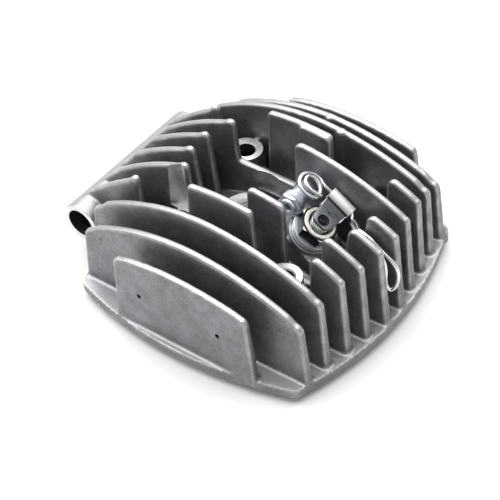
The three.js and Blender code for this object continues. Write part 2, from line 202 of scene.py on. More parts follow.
def swept(name, path, radius, sides=16):
    """A round bar along a path, with rounded ends."""
    path = [Vector(p) for p in path]
    end = len(path) - 1
    tangents = [(path[min(i + 1, end)] - path[max(i - 1, 0)]).normalized() for i in range(end + 1)]
    side = tangents[0].orthogonal().normalized()
    rings = []
    for p, t in zip(path, tangents):
        side = (side - t * side.dot(t)).normalized()
        rings.append((p, t, side, t.cross(side)))
    verts, faces = [], []

    def ring(centre, u, v, r):
        start = len(verts)
        for i in range(sides):
            a = 2 * math.pi * i / sides
            verts.append(centre + r * (math.cos(a) * u + math.sin(a) * v))
        return start

    starts = []
    p, t, u, v = rings[0]
    for k in (0.35, 0.75):
        starts.append(ring(p - t * radius * (1 - k), u, v, radius * math.sin(k * math.pi / 2)))
    for p, t, u, v in rings:
        starts.append(ring(p, u, v, radius))
    p, t, u, v = rings[-1]
    for k in (0.75, 0.35):
        starts.append(ring(p + t * radius * (1 - k), u, v, radius * math.sin(k * math.pi / 2)))
    for a, b in zip(starts, starts[1:]):
        for i in range(sides):
            j = (i + 1) % sides
            faces.append([a + i, a + j, b + j, b + i])
    faces.append([starts[0] + i for i in reversed(range(sides))])
    faces.append([starts[-1] + i for i in range(sides)])
    return fix_normals(mesh_from(name, verts, faces))


def moved(mesh, matrix):
    mesh.transform(matrix)
    return mesh


def joined(name, meshes):
    """One mesh holding several closed shells, with each shell's material index kept."""
    bm = bmesh.new()
    for mesh in meshes:
        bm.from_mesh(mesh)
    out = bpy.data.meshes.new(name)
    bm.to_mesh(out)
    bm.free()
    return out


def applied(obj):
    """The object's mesh with its modifiers applied, as a new mesh."""
    graph = bpy.context.evaluated_depsgraph_get()
    shown = obj.evaluated_get(graph)
    mesh = bpy.data.meshes.new_from_object(shown, preserve_all_data_layers=True, depsgraph=graph)
    bpy.data.objects.remove(obj)
    return mesh


def combine(name, mesh, others, operation="DIFFERENCE", slots=2):
    """mesh cut by, or joined with, each of the others."""
    obj = new_object(name, mesh)
    helpers = []
    while len(mesh.materials) < slots:
        mesh.materials.append(None)
    for i, other in enumerate(others):
        while len(other.materials) < slots:
            other.materials.append(None)
        helper = new_object(f"{name}_helper_{i}", other)
        helpers.append(helper)
        modifier = obj.modifiers.new(f"boolean_{i}", "BOOLEAN")
        modifier.operation = operation
        modifier.solver = "MANIFOLD"
        modifier.object = helper
    out = applied(obj)
    for helper in helpers:
        bpy.data.objects.remove(helper)
    return out


def paint(mesh, index):
    mesh.polygons.foreach_set("material_index", [index] * len(mesh.polygons))
    return mesh


def bevelled(mesh, width, segments=2, angle=35):
    """Rounds every edge sharper than angle."""
    bm = bmesh.new()
    bm.from_mesh(mesh)
    bmesh.ops.remove_doubles(bm, verts=bm.verts, dist=1e-4)
    bmesh.ops.dissolve_limit(bm, angle_limit=math.radians(1), verts=bm.verts, edges=bm.edges)
    sharp = [e for e in bm.edges if len(e.link_faces) == 2 and e.calc_face_angle(0) > math.radians(angle)]
    bmesh.ops.bevel(bm, geom=sharp, offset=width, offset_type="OFFSET", segments=segments, profile=0.5,
                    affect="EDGES", clamp_overlap=True)
    out = bpy.data.meshes.new(mesh.name + "_bevelled")
    bm.to_mesh(out)
    bm.free()
    return out


def piece(name, mesh, body, nodes, materials, smooth_angle=32):
    """Places a finished mesh in the row frame as a visible piece that stands for CAD nodes."""
    mesh.transform(TO_ROW)
    indices = [p.material_index for p in mesh.polygons]
    mesh.materials.clear()
    for material in materials:
        mesh.materials.append(material)
    mesh.polygons.foreach_set("material_index", indices)
    mesh.polygons.foreach_set("use_smooth", [True] * len(mesh.polygons))
    mesh.set_sharp_from_angle(angle=math.radians(smooth_angle))
    obj = new_object(name, mesh)
    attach(obj, body)
    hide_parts(*nodes)
    return obj


# ---------------------------------------------------------------- materials
class Nodes:
    """A short way to write a material's node tree."""

    def __init__(self, name):
        self.material = bpy.data.materials.new(name)
        self.material.use_nodes = True
        self.tree = self.material.node_tree
        self.shader = self.tree.nodes["Principled BSDF"]
        self.coords = self.tree.nodes.new("ShaderNodeTexCoord").outputs["Object"]

    def link(self, a, b):
        self.tree.links.new(a, b)

    def node(self, kind, **values):
        n = self.tree.nodes.new(kind)
        for key, value in values.items():
            setattr(n, key, value)
        return n

    def noise(self, scale, detail=3.0, roughness=0.55):
        n = self.node("ShaderNodeTexNoise")
        n.inputs["Scale"].default_value = scale
        n.inputs["Detail"].default_value = detail
        n.inputs["Roughness"].default_value = roughness
        self.link(self.coords, n.inputs["Vector"])
        return n.outputs["Fac"]

    def ramp(self, source, low, high, a=0.0, b=1.0):
        n = self.node("ShaderNodeMapRange")
        n.inputs["From Min"].default_value = low
        n.inputs["From Max"].default_value = high
        n.inputs["To Min"].default_value = a
        n.inputs["To Max"].default_value = b
        self.link(source, n.inputs["Value"])
        return n.outputs["Result"]

    def mix(self, factor, a, b):
        n = self.node("ShaderNodeMix", data_type="RGBA")
        for value, socket in ((factor, n.inputs["Factor"]), (a, n.inputs[6]), (b, n.inputs[7])):
            if isinstance(value, bpy.types.NodeSocket):
                self.link(value, socket)
            elif isinstance(value, (int, float)):
                socket.default_value = value
            else:
                socket.default_value = (*value, 1.0)
        return n.outputs[2]

    def math(self, operation, a, b):
        n = self.node("ShaderNodeMath", operation=operation)
        for value, socket in ((a, n.inputs[0]), (b, n.inputs[1])):
            if isinstance(value, bpy.types.NodeSocket):
                self.link(value, socket)
            else:
                socket.default_value = value
        return n.outputs[0]

    def attribute(self, name):
        n = self.node("ShaderNodeAttribute", attribute_name=name)
        return n.outputs["Fac"]

    def painted_top_light(self):
        geometry = self.node("ShaderNodeNewGeometry")
        split = self.node("ShaderNodeSeparateXYZ")
        self.link(geometry.outputs["Normal"], split.inputs[0])
        return split.outputs["Z"]

    def bump(self, height, strength, distance, normal=None):
        n = self.node("ShaderNodeBump")
        n.inputs["Strength"].default_value = strength
        n.inputs["Distance"].default_value = distance
        self.link(height, n.inputs["Height"])
        if normal is not None:
            self.link(normal, n.inputs["Normal"])
        return n.outputs["Normal"]

    def finish(self, color, roughness, metallic, normal=None):
        for value, key in ((color, "Base Color"), (roughness, "Roughness")):
            if isinstance(value, bpy.types.NodeSocket):
                self.link(value, self.shader.inputs[key])
            else:
                self.shader.inputs[key].default_value = value
        self.shader.inputs["Metallic"].default_value = metallic
        if normal is not None:
            self.link(normal, self.shader.inputs["Normal"])
        return self.material


def cast_aluminium():
    """Matte as-cast skin: mottled grey grain, dark pits, painted shade down in the fin roots, bright edges
    that are partly wear and partly painted highlight, and upward faces lightened as a painted highlight.
    """
    n = Nodes("cast_aluminium")
    mottle = n.noise(160, 4, 0.6)
    grain = n.noise(1500, 3, 0.6)
    blotch = n.noise(45, 3, 0.5)
    base = n.mix(n.ramp(mottle, 0.35, 0.68), (0.135, 0.134, 0.146), (0.25, 0.249, 0.266))
    base = n.mix(n.ramp(blotch, 0.42, 0.72, 0, 0.6), base, (0.125, 0.122, 0.13))
    base = n.mix(n.ramp(grain, 0.35, 0.7, 0, 0.35), base, (0.40, 0.40, 0.41))
    pits = n.ramp(n.noise(520, 2, 0.5), 0.70, 0.76)
    base = n.mix(n.math("MULTIPLY", pits, 0.75), base, (0.05, 0.05, 0.055))
    # Bright edges: partly real wear, partly a painted highlight on the convex edges, mixed towards a pale
    # warm grey.
    wear = n.attribute("wear")
    broken = n.ramp(n.noise(260, 4, 0.6), 0.30, 0.62, 0.35, 1.0)
    worn_and_highlit = n.math("MULTIPLY", n.ramp(wear, 0.25, 1.0), broken)
    base = n.mix(n.math("MULTIPLY", worn_and_highlit, 0.42), base, (0.70, 0.68, 0.66))
    # Painted highlight: faces that point up are lightened towards pale grey, standing in for the light from
    # above.
    painted_top_light = n.ramp(n.painted_top_light(), 0.35, 1.0, 0.0, 0.55)
    base = n.mix(painted_top_light, base, (0.60, 0.60, 0.615))
    # Painted shade: the skin darkens towards near-black down between the fins.
    painted_root_shade = n.attribute("root_shade")
    base = n.mix(painted_root_shade, base, (0.03, 0.03, 0.032))
    roughness = n.ramp(worn_and_highlit, 0.0, 1.0, 0.46, 0.34)
    normal = n.bump(grain, 0.35, 0.00012)
    normal = n.bump(mottle, 0.30, 0.0004, normal)
    return n.finish(base, roughness, 0.8, normal)


def machined_aluminium():
    """Turned bright seats and faces with fine tool marks."""
    n = Nodes("machined_aluminium")
    streak = n.noise(900, 3, 0.6)
    tone = n.noise(220, 3, 0.6)
    base = n.mix(n.ramp(tone, 0.3, 0.7), (0.52, 0.525, 0.535), (0.74, 0.74, 0.745))
    roughness = n.ramp(streak, 0.3, 0.7, 0.36, 0.52)
    return n.finish(base, roughness, 0.95, n.bump(streak, 0.18, 0.00008))


def plated(name, low, high, roughness, grain_scale=700, speck=(0.3, 0.3, 0.3), metallic=1.0):
    """Plated or drawn metal: two close tones, a few specks and fine scratches."""
    n = Nodes(name)
    tone = n.noise(180, 3, 0.6)
    base = n.mix(n.ramp(tone, 0.35, 0.65), low, high)
    specks = n.ramp(n.noise(900, 2, 0.5), 0.70, 0.78)
    base = n.mix(n.math("MULTIPLY", specks, 0.6), base, speck)
    fine = n.noise(grain_scale, 4, 0.65)
    rough = n.ramp(fine, 0.3, 0.7, roughness * 0.8, roughness * 1.25)
    return n.finish(base, rough, metallic, n.bump(fine, 0.05, 0.00003))


CAST = cast_aluminium()
MACHINED = machined_aluminium()
# Painted shade: a near-black finish stands in for the shade inside the tube bore, the stud holes and the two
# front marks.
SHADED_BORE = plated("shaded_bore", (0.02, 0.02, 0.021), (0.05, 0.05, 0.052), 0.55, metallic=0.5)
BLUE_ZINC = plated("blue_zinc", (0.66, 0.73, 0.80), (0.78, 0.84, 0.90), 0.34, metallic=0.75)
YELLOW_ZINC = plated("yellow_zinc", (0.72, 0.69, 0.58), (0.86, 0.85, 0.78), 0.30, metallic=0.85)
WASHER = plated("washer_steel", (0.58, 0.59, 0.60), (0.76, 0.77, 0.78), 0.25)
BLACKENED = plated("blackened_flats", (0.012, 0.012, 0.013), (0.03, 0.028, 0.026), 0.30,
                   speck=(0.25, 0.2, 0.14))
SPRING_STEEL = plated("spring_steel", (0.50, 0.51, 0.52), (0.66, 0.67, 0.68), 0.25)
DARK_STEEL = plated("dark_steel", (0.012, 0.012, 0.014), (0.035, 0.035, 0.038), 0.30, speck=(0.3, 0.3, 0.3))
GREY_STEEL = plated("grey_steel", (0.14, 0.15, 0.16), (0.22, 0.23, 0.245), 0.36)
# Painted highlight: the lever's rolled eye is a near-white copy of the grey plate steel, standing in for the
# light on the roll.
ROLL_PAINTED_HIGHLIGHT = plated("rolled_edge_steel", (0.90, 0.905, 0.91), (0.96, 0.965, 0.97), 0.34, metallic=0.3)
WIRE = plated("bright_wire", (0.72, 0.73, 0.74), (0.88, 0.885, 0.89), 0.22)


# ---------------------------------------------------------------- head casting
def fin_y(k):
    return (k - (FIN_COUNT - 1) / 2) * FIN_PITCH


def fin_row(k):
    return FIN_ROWS[min(k, FIN_COUNT - 1 - k)]


def top_height(row, x):
    end = row["left"] if x < 0 else row["right"]
    s = x / end[0]
    return row["crown"] - (row["crown"] - end[1]) * s * s


def fin_sides(k):
    """Front and back face of fin k: a drafted plate, thicker at its root."""
    def half(z):
        return 0.5 * (FIN_ROOT_T + (FIN_TIP_T - FIN_ROOT_T) * min(1.0, (z - FLANGE_Z) / FIN_TALL))
    y = fin_y(k)
    return (lambda z: y - half(z)), (lambda z: y + half(z))


def corner(outline, x, z, towards_x, radius):
    """Adds a round upper corner; towards_x is +1 at a left end and -1 at a right end."""
    steps = 4
    arc = [(x + towards_x * radius * (1 - math.cos(a)), z - radius + radius * math.sin(a))
           for a in (i * math.pi / 2 / steps for i in range(steps + 1))]
    outline += arc if towards_x > 0 else arc[::-1]


def fin_stretch(k, x0, x1, lean0=0.0, lean1=0.0, cap=99.0, radius=2.0, outer_radius=None):
    row = fin_row(k)
    height = lambda x: FLANGE_Z + min(top_height(row, x), cap)
    outline = [(x0 - lean0, FIN_ROOT_Z)]
    outer_radius = outer_radius or radius
    corner(outline, x0, height(x0) + 0.4 if x0 < 0 else height(x0 + radius), 1, radius)
    count = max(2, round((x1 - x0) / 3))
    first, last = x0 + radius, x1 - outer_radius
    outline += [(x, height(x)) for x in (first + (last - first) * i / count for i in range(1, count))]
    corner(outline, x1, height(x1) + 0.4, -1, outer_radius)
    outline.append((x1 + lean1, FIN_ROOT_Z))
    return bevelled(slab(f"fin_{k}", outline, *fin_sides(k)), 0.85, 3, 40)


def tube_lug(k, x1, lean1):
    """The left stretch of a middle fin, which runs down on to the mounting tube."""
    row = fin_row(k)
    outline = [(-47, FIN_ROOT_Z), (-58, 9.6), (-63.0, 13.6), (-62.8, 18.0), (-58.5, 23.0), (-55.0, 26.4)]
    first, last = row["left"][0], x1 - 2.0
    count = round((last - first) / 3)
    outline += [(x, FLANGE_Z + top_height(row, x))
                for x in (first + (last - first) * i / count for i in range(count))]
    corner(outline, x1, FLANGE_Z + top_height(row, x1) + 0.2, -1, 2.2)
    outline.append((x1 + lean1, FIN_ROOT_Z))
    return bevelled(slab(f"lug_{k}", outline, *fin_sides(k)), 0.85, 3, 40)


def quadratic(a, b, c, count):
    return [tuple((1 - t) ** 2 * p + 2 * t * (1 - t) * q + t * t * r for p, q, r in zip(a, b, c))
            for t in (i / count for i in range(count))]


def flange_outline():
    """Bowed sides and small-radius corners."""
    x, y, c, side, end = 44.6, 46.0, 3.0, 61.5, 59.2
    outline = []
    for sx, sy in ((1, 1), (-1, 1), (-1, -1), (1, -1)):
        on_end = (sx * (x - c), sy * (y + 0.6))
        on_side = (sx * (x + 0.9), sy * (y - c))
        tip = (sx * (x + 0.6), sy * y)
        far_end = (-sx * (x - c), sy * (y + 0.6))
        far_side = (sx * (x + 0.9), -sy * (y - c))
        if sx * sy > 0:
            outline += quadratic(on_side, tip, on_end, 5)
            outline += quadratic(on_end, (0, sy * end), far_end, 24)
        else:
            outline += quadratic(on_end, tip, on_side, 5)
            outline += quadratic(on_side, (sx * side, 0), far_side, 24)
    return outline


def land_outline():
    h, c = 33.0, 11.0
    outline = []
    for sx, sy in ((1, 1), (-1, 1), (-1, -1), (1, -1)):
        a, b = (sx * h, sy * (h - c)), (sx * (h - c), sy * h)
        outline += quadratic(*((a, (sx * h, sy * h), b) if sx * sy > 0 else (b, (sx * h, sy * h), a)), 8)
    return outline


def cast_shells():
    """Every cast form as its own closed shell, before they are fused into one skin."""
    shells = [prism("flange", flange_outline(), LAND_Z, FLANGE_Z)]
    shells.append(prism("land", land_outline(), 0, LAND_Z + 1))
    dome = [(0, 3), (41, 3), (40, 6.5), (33, 10), (26, 15), (17, 18.6), (0, 18.6)]
    shells.append(lathe("dome", dome, 96))
    last = FIN_COUNT - 1
    for k in (0, 1, 2, last - 2, last - 1, last):
        row = fin_row(k)
        (x0, _), (x1, _) = row["left"], row["right"]
        shells.append(fin_stretch(k, x0, x1, x0 - row["left_foot"], row["foot"] - x1, radius=2.6))
    for k, gap in FIN_GAPS.items():
        row = fin_row(k)
        shells.append(tube_lug(k, gap["left_end"], gap["lean"]))
        right = row["right"][0]
        shells.append(fin_stretch(k, gap["right_start"], right, gap["slant"], row["foot"] - right,
                                  radius=2.8, outer_radius=1.2))
        if k in (3, 8):
            shells.append(fin_stretch(k, -12.6, 13.1, 1.2, 1.4, radius=1.6))
            shells.append(fin_stretch(k, -37, 38, 2, 2, cap=15.0))
    pad = fin_stretch(8, 1.0, 13.1, 0.0, 1.4, radius=1.6)
    shells.append(moved(pad, Matrix.Translation((0, -0.85, -0.15))))
    for k, x in ((9, 11.0), (10, 0.5)):
        top = FLANGE_Z + top_height(fin_row(k), x) + 0.3
        bump = lathe("bump", [(0, 28), (1.8, 28), (1.8, top - 0.9), (1.2, top), (0, top)], 32)
        shells.append(moved(bump, Matrix.Translation((x, fin_y(k) - 0.4, 0))))
    nub = lathe("nub", [(0, 3), (1.6, 3), (1.6, 8.2), (0.9, 9.4), (0, 9.4)], 24)
    shells.append(moved(nub, Matrix.Translation((45.6, 40.8, 0))))
    shells.append(fin_stretch(4, 4.8, 19.0, 0.4, 0))
    shells.append(fin_stretch(4, -24, 36, 2, 2, cap=13.0))
    shells.append(fin_stretch(5, -26, 40, 2, 2, cap=12.0))
    shells.append(fin_stretch(6, -26, 41, 2, 2, cap=12.0))
    shells.append(fin_stretch(7, -22, 8, 2, 0, cap=24.2))
    for sx in (-1, 1):
        for sy in (-1, 1):
            top = STUD_SEAT_Z + 0.8
            boss = lathe("stud_boss", [(0, 3), (8.2, 3), (STUD_RING_R, top), (0, top)])
            shells.append(moved(boss, Matrix.Translation((sx * STUD_X, sy * STUD_Y, 0))))
    top = PLUG_SEAT_Z + 0.8
    boss = lathe("plug_boss", [(0, 3), (12.4, 3), (PLUG_RING_R + 0.6, top), (0, top)])
    shells.append(moved(boss, Matrix.Translation((PLUG_X, 0, 0))))
    shells.append(moved(rod("valve_boss", 8.0, -15, 0.8), VALVE_FRAME))
    block = [(14.6, 3), (27, 3), (25.4, 20.2), (14.6, 27.5)]
    shells.append(slab("valve_block", block, lambda z: -8.3, lambda z: 8.3))
    tube = rod("tube", TUBE_R, -TUBE_HALF, TUBE_HALF, 64)
    shells.append(moved(tube, Matrix.Translation((TUBE_X, 0, TUBE_Z)) @ Matrix.Rotation(math.pi / 2, 4, "X")))
    return shells


def fused_skin(shells, voxel=0.5, rounds=5):
    """One rounded cast skin from overlapping shells."""
    obj = new_object("cast_skin", joined("cast_skin", shells))
    remesh = obj.modifiers.new("fuse", "REMESH")
    remesh.mode = "VOXEL"
    remesh.voxel_size = voxel
    remesh.adaptivity = 0.0
    smooth = obj.modifiers.new("soften", "SMOOTH")
    smooth.factor = 0.5
    smooth.iterations = rounds
    return applied(obj)


def mesh_arrays(mesh):
    co = np.empty(len(mesh.vertices) * 3, np.float32)
    mesh.vertices.foreach_get("co", co)
    normals = np.empty(len(mesh.vertices) * 3, np.float32)
    mesh.vertices.foreach_get("normal", normals)
    edges = np.empty(len(mesh.edges) * 2, np.int32)
    mesh.edges.foreach_get("vertices", edges)
    return co.reshape(-1, 3).astype(float), normals.reshape(-1, 3).astype(float), edges.reshape(-1, 2)


def neighbour_mean(values, edges, count):
    total = np.zeros((len(values), values.shape[1]))
    np.add.at(total, edges[:, 0], values[edges[:, 1]])
    np.add.at(total, edges[:, 1], values[edges[:, 0]])
    return total / count[:, None]


def mark_wear_highlight_and_shade(mesh):
    """Writes an edge mark, high on convex edges, that stands for wear and painted highlight, and a painted
    shade mark, high down between the fins.
    """
    co, normals, edges = mesh_arrays(mesh)
    count = np.bincount(edges.ravel(), minlength=len(co)).astype(float)
    curve = np.einsum("ij,ij->i", co - neighbour_mean(co, edges, count), normals)[:, None]
    for _ in range(4):
        curve = 0.5 * curve + 0.5 * neighbour_mean(curve, edges, count)
    # The edge mark brightens convex edges, for wear and for a painted highlight.
    wear = np.clip((curve[:, 0] - 0.010) / 0.034, 0, 1)
    # Painted shade: darker towards the flange, inside the head's outline and away from the outer faces,
    # standing in for the shade between the fins.
    height = np.clip((co[:, 2] - FLANGE_Z) / 24.0, 0, 1)
    inside = np.clip((1.0 - np.hypot(co[:, 0] / 54.0, co[:, 1] / 54.0)) / 0.35, 0, 1)
    outer_face = np.clip((np.abs(co[:, 1]) - 47.0) / 1.5, 0, 1)
    root_shade = 0.78 * (1 - height) ** 1.3 * inside * (1 - outer_face)
    for name, values in (("wear", wear), ("root_shade", root_shade)):
        layer = mesh.attributes.new(name, "FLOAT", "POINT")
        layer.data.foreach_set("value", values.astype(np.float32))


def thinned(mesh, faces):
    obj = new_object("thinned", mesh)
    triangles = sum(len(p.vertices) - 2 for p in mesh.polygons)
    if triangles > faces:
        decimate = obj.modifiers.new("thin", "DECIMATE")
        decimate.ratio = faces / triangles
    return applied(obj)


def machining():
    """What the machine shop cuts: holes, seats, the gasket face and the chamber."""
    cuts = []
    for sx in (-1, 1):
        for sy in (-1, 1):
            at = Matrix.Translation((sx * STUD_X, sy * STUD_Y, 0))
            socket = MILLED_SOCKET_R if sx < 0 and sy < 0 else SOCKET_R
            seat = [(0, -1), (STUD_HOLE_R, -1), (STUD_HOLE_R, STUD_SEAT_Z - 0.5),
                    (STUD_HOLE_R + 0.5, STUD_SEAT_Z),
                    (socket, STUD_SEAT_Z), (socket, 60), (0, 60)]
            cuts.append(moved(lathe("stud_cut", seat, 72), at))
    plug = [(0, -1), (PLUG_HOLE_R, -1)]
    z, pitch = 9.5, 1.25
    while z < PLUG_SEAT_Z - 1.6:
        plug += [(PLUG_HOLE_R, z), (PLUG_HOLE_R + 0.62, z + pitch / 2)]
        z += pitch
    plug += [(PLUG_HOLE_R, z), (PLUG_HOLE_R, PLUG_SEAT_Z - 0.9), (PLUG_HOLE_R + 0.9, PLUG_SEAT_Z),
             (PLUG_WELL_R, PLUG_SEAT_Z), (PLUG_WELL_R, 60), (0, 60)]
    cuts.append(moved(lathe("plug_cut", plug, 96), Matrix.Translation((PLUG_X, 0, 0))))
    bore = rod("tube_bore", TUBE_BORE_R, -40, 40, 64)
    cuts.append(moved(bore, Matrix.Translation((TUBE_X, 0, TUBE_Z)) @ Matrix.Rotation(math.pi / 2, 4, "X")))
    chamber = [(0, -1), (BORE_R, -1), (BORE_R, 0.8), (14.5, 1.4), (13.6, 3.4), (11.5, 6.0), (8.2, 8.0),
               (4.0, 9.0), (0, 9.2)]
    cuts.append(lathe("chamber", chamber, 96))
    valve = [(0, -26), (4.7, -26), (4.7, -16.2), (VALVE_HOLE_R, -16.2), (VALVE_HOLE_R, -0.6),
             (VALVE_HOLE_R + 0.5, 0), (9.6, 0), (9.6, 4.0), (0, 4.0)]
    cuts.append(moved(lathe("valve_cut", valve, 72), VALVE_FRAME))
    for y in (-TUBE_HALF - 2, TUBE_HALF - 0.25):
        face = rod("tube_end", TUBE_R + 0.5, 0, 2.25, 48)
        place = Matrix.Translation((TUBE_X, y, TUBE_Z)) @ Matrix.Rotation(-math.pi / 2, 4, "X")
        cuts.append(moved(face, place))
    cuts.append(prism("gasket_cut", [(-70, -60), (70, -60), (70, 60), (-70, 60)], -2, 0.05))
    for x in (-13.9, 18.0):
        mark = lathe("mark", [(0, 0), (0.95, 0), (0.75, 1.9), (0, 2.3)], 20)
        place = Matrix.Translation((x, fin_y(0) - FIN_ROOT_T / 2 - 0.6, FLANGE_Z + 14))
        cuts.append(moved(mark, place @ Matrix.Rotation(-math.pi / 2, 4, "X")))
    return cuts


def shade_cuts(mesh):
    """Leaves the cast walls above the seats unmachined and gives the stud holes below them the near-black
    painted shade.
    """
    for polygon in mesh.polygons:
        if polygon.material_index != 1:
            continue
        x, y, z = polygon.center
        if abs(x) > STUD_X - 9 and abs(y) > STUD_Y - 9:
            milled = x < 0 and y < 0
            radius = math.hypot(abs(x) - STUD_X, abs(y) - STUD_Y)
            if z > STUD_SEAT_Z + 0.2 and not milled:
                polygon.material_index = 0
            elif z < STUD_SEAT_Z - 0.6 and radius < STUD_HOLE_R + 0.2:
                polygon.material_index = 2
        elif z > PLUG_SEAT_Z + 0.2 and math.hypot(x - PLUG_X, y) > PLUG_WELL_R - 0.3:
            if math.hypot(x - PLUG_X, y) < PLUG_WELL_R + 0.3:
                polygon.material_index = 0


def head_casting():
    skin = fused_skin(cast_shells())
    mark_wear_highlight_and_shade(skin)
    skin = thinned(skin, 150_000)
    # The tube bore and the two front marks get the near-black painted shade; the other cuts are machined.
    cuts = [paint(cut, 2 if cut.name.startswith(("tube_bore", "mark")) else 1) for cut in machining()]
    mesh = combine("head_casting_looks", paint(skin, 0), cuts, slots=3)
    shade_cuts(mesh)
    materials = [CAST, MACHINED, SHADED_BORE]
    return piece("head_casting_looks", mesh, "head", ["head_casting"], materials, 40)


# ---------------------------------------------------------------- decompression valve
def hexagon(across_flats, turn):
    """turn is the hexagon's rotation in sixths of a turn."""
    r = across_flats / math.sqrt(3)
    angles = [(i + turn) * math.pi / 3 for i in range(6)]
    return [(r * math.cos(a), r * math.sin(a)) for a in angles]


def valve_body():
    hexa = paint(prism("hex", hexagon(12.0, 0.15), 3.1, 7.2), 1)
    chamfer = [(0, 2.6), (6.0, 2.6), (7.2, 3.4), (7.2, 6.9), (5.9, 7.4), (0, 7.4)]
    cone = paint(lathe("hex_chamfer", chamfer, 72), 0)
    body = combine("valve_body_looks", hexa, [cone], "INTERSECT")
    crown = paint(lathe("crown", [(0, 6.8), (5.7, 6.8), (5.7, 7.35), (5.45, 7.6), (0, 7.6)], 72), 0)
    shank = lathe("shank", [(0, -15), (4.6, -15), (5.0, -14.6), (5.0, 2.6), (5.0, 3.6), (0, 3.6)], 72)
    body = combine("valve_body_looks", body, [crown, shank], "UNION")
    spot = [(0, -2.0), (3.9, -2.0), (3.9, 6.6), (4.4, 6.7), (4.4, 7.3), (4.6, 7.7), (4.6, 20), (0, 20)]
    cuts = [lathe("spot", spot, 64), rod("bore", 2.1, -20, 20, 40)]
    body = combine("valve_body_looks", body, cuts)
    return piece("valve_body_looks", moved(body, VALVE_FRAME), "head", ["valve_body"],
                 [YELLOW_ZINC, BLACKENED], 30)


def sealing_washer():
    profile = [(5.35, 0.42), (5.5, 0.3), (7.0, 0.3), (7.2, 0.5), (7.2, 1.1), (7.0, 1.3), (5.5, 1.3),
               (5.35, 1.18)]
    mesh = moved(lathe("sealing_washer_looks", profile, 72), VALVE_FRAME)
    return piece("sealing_washer_looks", mesh, "head", ["sealing_washer"], [WASHER])


def along_barrel(mesh):
    """Turns a shape made about Z so that it runs along the barrel, in the valve's frame."""
    mesh.transform(Matrix.Translation((BARREL_X, 0, BARREL_Z)) @ Matrix.Rotation(-math.pi / 2, 4, "X"))
    return mesh


def cable_bracket():
    ring = lathe("ring", [(0, 1.6), (7.3, 1.6), (7.5, 1.8), (7.5, 2.6), (7.3, 2.8), (0, 2.8)], 72)
    outline = [(0, -5.2), (0, 5.6), (BARREL_X + 2, 5.2), (BARREL_X - 1.6, 3.4), (BARREL_X - 1.6, 0.3),
               (BARREL_X + 5.6, 0.3)]
    arm = prism("arm", outline, 1.6, 2.8)
    profile = [(0, 0.2), (3.8, 0.2), (4.1, 0.5), (4.1, 2.1), (3.8, 2.4), (0, 2.4)]
    collar = along_barrel(lathe("collar", profile, 64))
    body = combine("cable_bracket_looks", bevelled(arm, 0.2), [ring, collar], "UNION")
    cuts = [rod("shank_hole", 5.35, 0, 5, 64), along_barrel(rod("barrel_hole", BARREL_R + 0.25, -2, 9, 56)),
            along_barrel(rod("nut_room", 4.7, -1.9, 0.1, 48))]
    body = combine("cable_bracket_looks", body, cuts)
    return piece("cable_bracket_looks", moved(body, VALVE_FRAME), "head", ["cable_bracket"],
                 [BLUE_ZINC])


def adjuster_barrel():
    profile = [(1.4, -2.0), (1.6, -2.2), (2.7, -2.2), (2.95, -1.9)]
    z, pitch = -1.8, 0.8
    while z < 1.6:
        profile += [(BARREL_R, z + pitch * 0.25), (BARREL_R, z + pitch * 0.45)]
        profile.append((BARREL_R - 0.3, z + pitch * 0.9))
        z += pitch
    profile += [(BARREL_R - 0.25, 2.5), (BARREL_R, 2.8), (BARREL_R, 9.0), (2.7, 9.75), (2.3, 9.9), (1.7, 9.9),
                (1.4, 9.6)]
    mesh = moved(along_barrel(lathe("adjuster_barrel_looks", profile, 64)), VALVE_FRAME)
    return piece("adjuster_barrel_looks", mesh, "head", ["adjuster_barrel"], [BLUE_ZINC])


def adjuster_locknut():
    chamfer = [(0, -1.65), (3.7, -1.65), (4.45, -1.2), (4.45, -0.6), (3.7, -0.15), (0, -0.15)]
    nut = combine("adjuster_locknut_looks", prism("nut", hexagon(7.6, 0.5), -1.6, -0.2),
                  [lathe("nut_chamfer", chamfer, 64)], "INTERSECT")
    nut = combine("adjuster_locknut_looks", nut, [rod("nut_hole", BARREL_R + 0.25, -4, 4, 48)])
    mesh = moved(along_barrel(nut), VALVE_FRAME)
    return piece("adjuster_locknut_looks", mesh, "head", ["adjuster_locknut"], [BLUE_ZINC])


def return_spring():
    turns, z0, z1, radius = 7, -1.3, 7.3, 2.95
    path = [(radius * math.cos(a), radius * math.sin(a), z0 + (z1 - z0) * a / (2 * math.pi * turns))
            for a in (i * 2 * math.pi / 28 for i in range(28 * turns + 1))]
    mesh = moved(swept("return_spring_looks", path, 0.4, 12), VALVE_FRAME)
    spring = piece("return_spring_looks", mesh, "head", ["return_spring"], [SPRING_STEEL])
    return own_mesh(spring)


def spring_retainer():
    profile = [(1.3, 7.8), (3.45, 7.8), (3.6, 7.95), (3.6, 8.45), (3.45, 8.6), (1.3, 8.6)]
    mesh = moved(lathe("spring_retainer_looks", profile, 56), VALVE_FRAME)
    return piece("spring_retainer_looks", mesh, "stem", ["spring_retainer"], [SPRING_STEEL])


def valve_stem():
    profile = [(0, -18.2), (3.6, -18.2), (4.0, -17.9), (4.0, -17.3), (2.6, -15.6), (1.9, -15.3), (1.9, 7.7),
               (1.2, 7.7), (1.2, 9.3), (1.0, 9.5), (0.55, 9.5), (0.5, 9.2), (0, 9.05)]
    mesh = moved(lathe("valve_stem_looks", profile, 56), VALVE_FRAME)
    return piece("valve_stem_looks", mesh, "stem", ["valve_stem"], [DARK_STEEL])


def stem_nut():
    profile = [(1.3, 8.65), (2.0, 8.65), (2.0, 9.05), (1.75, 9.3), (1.45, 9.3), (1.3, 9.2)]
    mesh = moved(lathe("stem_nut_looks", profile, 56), VALVE_FRAME)
    return piece("stem_nut_looks", mesh, "stem", ["stem_nut"], [DARK_STEEL])


